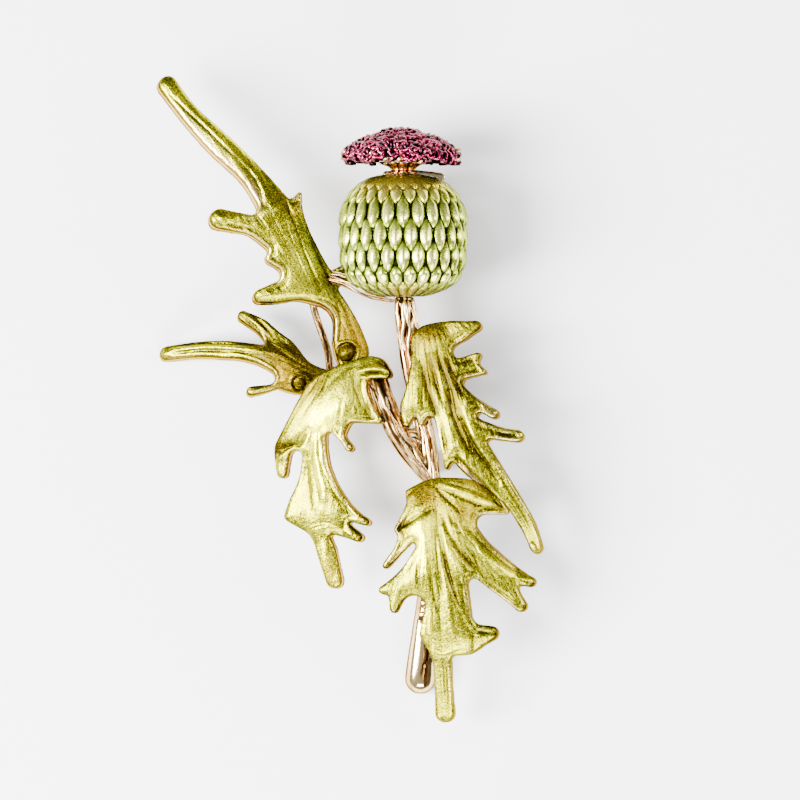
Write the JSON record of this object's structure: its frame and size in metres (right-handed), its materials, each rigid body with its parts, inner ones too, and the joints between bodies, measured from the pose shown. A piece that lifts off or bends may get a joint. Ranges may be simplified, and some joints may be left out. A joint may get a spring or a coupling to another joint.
{
  "type": "thistle brooch",
  "caption": "Thistle brooch of enamelled jagged leaves on a forked metal stem, with a scaled flower globe, a domed tuft and a plain pin behind.",
  "frame": {"origin": "middle of the brooch's outline, on the surface that it lies on", "axes": "+Y up the flower, +X to the right of the flower seen from the front, +Z out of the front"},
  "size_m": [0.045, 0.0752, 0.0185],
  "materials": {
    "rose_gold": "polished plating",
    "olive_enamel": "pearl enamel",
    "silver_green_enamel": "pearl enamel over raised scales",
    "magenta_enamel": "gloss enamel"
  },
  "bodies": {
    "root": {"stem": "rose_gold", "leaf_upper": "olive_enamel", "leaf_side": "olive_enamel", "leaf_middle": "olive_enamel", "leaf_right": "olive_enamel", "leaf_lower": "olive_enamel", "flower_globe": "silver_green_enamel", "neck": "rose_gold", "tuft": "magenta_enamel", "brooch_pin": "rose_gold"}
  },
  "joints": []
}
